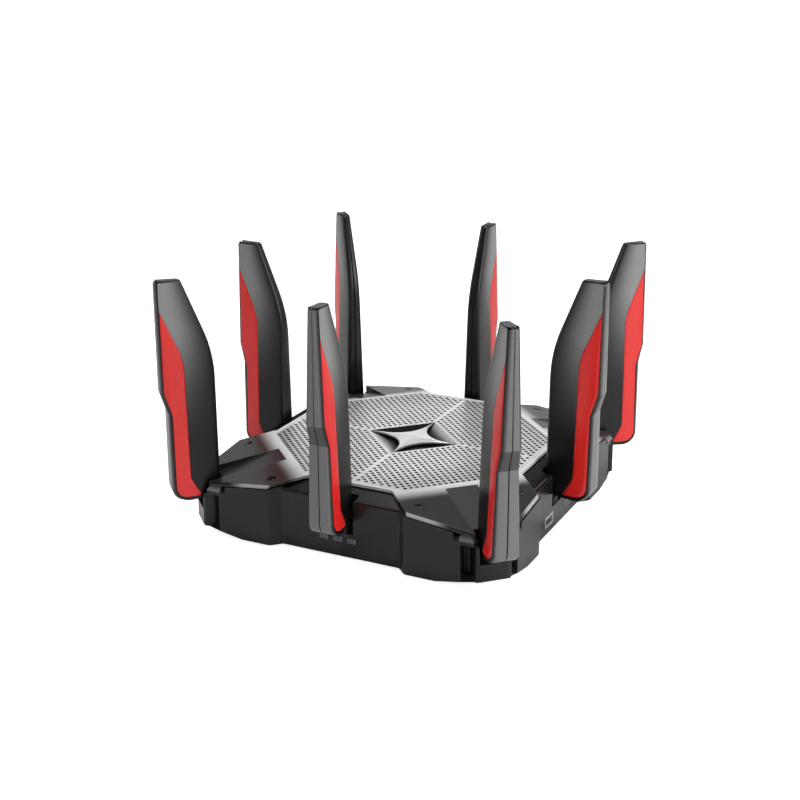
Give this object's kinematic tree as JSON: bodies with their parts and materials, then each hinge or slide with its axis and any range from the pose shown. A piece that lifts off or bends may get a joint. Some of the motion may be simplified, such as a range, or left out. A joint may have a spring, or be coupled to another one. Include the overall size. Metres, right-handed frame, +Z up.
{
  "type": "wireless router",
  "caption": "Square desktop wireless router with a perforated top, corner lobes and tilting fin antennas with red inlays round its edge.",
  "frame": {"origin": "centre of the footprint, on the surface the router stands on", "axes": "+Z up; -Y is the front, with the push buttons; +X is the right side, with the USB ports; +Y is the back, with the network sockets"},
  "size_m": [0.289, 0.289, 0.1819],
  "materials": {
    "case": "satin charcoal",
    "cover": "satin charcoal",
    "grille": "satin silver grey",
    "emblem_metal": "brushed silver",
    "emblem_tint": "smoked gloss",
    "antenna_shell": "satin-gloss charcoal",
    "antenna_red": "gloss red",
    "circuit_board": "solder mask",
    "chip": "moulded",
    "bare_metal": "mill finish",
    "plated_steel": "plated",
    "connector_black": "moulded",
    "wan_blue": "moulded",
    "button": "satin",
    "foot_rubber": "matt"
  },
  "bodies": {
    "body": {"base_case": "case", "bottom_plate": "case", "top_cover": "cover", "grille_panel": "grille", "emblem_frame": "emblem_metal", "emblem_lens": "emblem_tint", "light_board": "circuit_board", "main_board": "circuit_board", "board_screws": "plated_steel", "processor_chips": "chip", "heatsink": "bare_metal", "rf_shields": "plated_steel", "lan_ports": "connector_black", "wan_port": "wan_blue", "power_jack": "connector_black", "usb_a_port": "plated_steel", "usb_c_port": "plated_steel", "button_boards": "circuit_board", "rubber_feet": "foot_rubber", "base_screws": "plated_steel", "cover_screws": "plated_steel", "antenna_sockets": "connector_black", "hinge_pins": "plated_steel"},
    "antenna_front": {"antenna_front_shell_a": "antenna_shell", "antenna_front_shell_b": "antenna_shell", "antenna_front_inlays": "antenna_red", "antenna_front_radiator": "circuit_board"},
    "antenna_right": {"antenna_right_shell_a": "antenna_shell", "antenna_right_shell_b": "antenna_shell", "antenna_right_inlays": "antenna_red", "antenna_right_radiator": "circuit_board"},
    "antenna_back": {"antenna_back_shell_a": "antenna_shell", "antenna_back_shell_b": "antenna_shell", "antenna_back_inlays": "antenna_red", "antenna_back_radiator": "circuit_board"},
    "antenna_left": {"antenna_left_shell_a": "antenna_shell", "antenna_left_shell_b": "antenna_shell", "antenna_left_inlays": "antenna_red", "antenna_left_radiator": "circuit_board"},
    "antenna_front_right": {"antenna_front_right_shell_a": "antenna_shell", "antenna_front_right_shell_b": "antenna_shell", "antenna_front_right_inlays": "antenna_red", "antenna_front_right_radiator": "circuit_board"},
    "antenna_back_right": {"antenna_back_right_shell_a": "antenna_shell", "antenna_back_right_shell_b": "antenna_shell", "antenna_back_right_inlays": "antenna_red", "antenna_back_right_radiator": "circuit_board"},
    "antenna_back_left": {"antenna_back_left_shell_a": "antenna_shell", "antenna_back_left_shell_b": "antenna_shell", "antenna_back_left_inlays": "antenna_red", "antenna_back_left_radiator": "circuit_board"},
    "antenna_front_left": {"antenna_front_left_shell_a": "antenna_shell", "antenna_front_left_shell_b": "antenna_shell", "antenna_front_left_inlays": "antenna_red", "antenna_front_left_radiator": "circuit_board"},
    "wifi_button": {"wifi_button": "button"},
    "wps_button": {"wps_button": "button"},
    "light_button": {"light_button": "button"},
    "reset_button": {"reset_button": "button"},
    "power_button": {"power_button": "button"}
  },
  "joints": [
    {"name": "antenna_front_tilt", "type": "hinge", "parent": "body", "child": "antenna_front", "pos_m": [0, -0.118, 0.038], "axis": [1, 0, 0], "range_deg": [0, 45]},
    {"name": "antenna_right_tilt", "type": "hinge", "parent": "body", "child": "antenna_right", "pos_m": [0.118, 0, 0.038], "axis": [0, 1, 0], "range_deg": [0, 45]},
    {"name": "antenna_back_tilt", "type": "hinge", "parent": "body", "child": "antenna_back", "pos_m": [0, 0.118, 0.038], "axis": [-1, 0, 0], "range_deg": [0, 45]},
    {"name": "antenna_left_tilt", "type": "hinge", "parent": "body", "child": "antenna_left", "pos_m": [-0.118, 0, 0.038], "axis": [0, -1, 0], "range_deg": [0, 45]},
    {"name": "antenna_front_right_tilt", "type": "hinge", "parent": "body", "child": "antenna_front_right", "pos_m": [0.11102, -0.11102, 0.038], "axis": [0.7071, 0.7071, 0], "range_deg": [0, 45]},
    {"name": "antenna_back_right_tilt", "type": "hinge", "parent": "body", "child": "antenna_back_right", "pos_m": [0.11102, 0.11102, 0.038], "axis": [-0.7071, 0.7071, 0], "range_deg": [0, 45]},
    {"name": "antenna_back_left_tilt", "type": "hinge", "parent": "body", "child": "antenna_back_left", "pos_m": [-0.11102, 0.11102, 0.038], "axis": [-0.7071, -0.7071, 0], "range_deg": [0, 45]},
    {"name": "antenna_front_left_tilt", "type": "hinge", "parent": "body", "child": "antenna_front_left", "pos_m": [-0.11102, -0.11102, 0.038], "axis": [0.7071, -0.7071, 0], "range_deg": [0, 45]},
    {"name": "wifi_button_press", "type": "slide", "parent": "body", "child": "wifi_button", "axis": [0, 1, 0], "range_m": [0, 0.0008], "stiffness_N_per_m": 400, "springref_m": -0.0005},
    {"name": "wps_button_press", "type": "slide", "parent": "body", "child": "wps_button", "axis": [0, 1, 0], "range_m": [0, 0.0008], "stiffness_N_per_m": 400, "springref_m": -0.0005},
    {"name": "light_button_press", "type": "slide", "parent": "body", "child": "light_button", "axis": [0, 1, 0], "range_m": [0, 0.0008], "stiffness_N_per_m": 400, "springref_m": -0.0005},
    {"name": "reset_button_press", "type": "slide", "parent": "body", "child": "reset_button", "axis": [1, 0, 0], "range_m": [0, 0.0008], "stiffness_N_per_m": 400, "springref_m": -0.0005},
    {"name": "power_button_press", "type": "slide", "parent": "body", "child": "power_button", "axis": [1, 0, 0], "range_m": [0, 0.001], "stiffness_N_per_m": 600, "springref_m": -0.0005}
  ]
}
